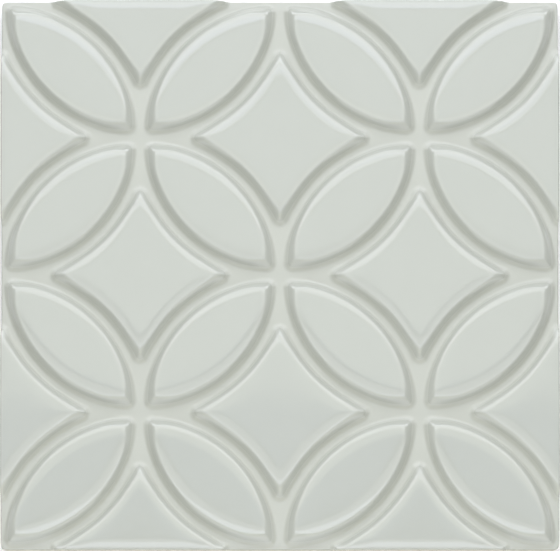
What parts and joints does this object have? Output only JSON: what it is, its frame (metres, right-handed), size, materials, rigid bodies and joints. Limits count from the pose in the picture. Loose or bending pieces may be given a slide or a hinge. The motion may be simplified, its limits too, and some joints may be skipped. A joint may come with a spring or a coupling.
{
  "type": "relief glazed tile",
  "caption": "Square ceramic wall tile with a cushioned edge and a glazed relief face: overlapping circles leave raised petals and concave diamonds between recessed channels.",
  "frame": {"origin": "middle of the tile's outline, on the plane of the bedding back", "axes": "+Z out of the glazed face, +X and +Y along the tile's sides; +Y is the top of the picture"},
  "size_m": [0.148, 0.148, 0.0084],
  "materials": {
    "glaze": "gloss pale grey-green glaze over fired clay"
  },
  "bodies": {
    "root": {"relief_tile": "glaze"}
  },
  "joints": []
}
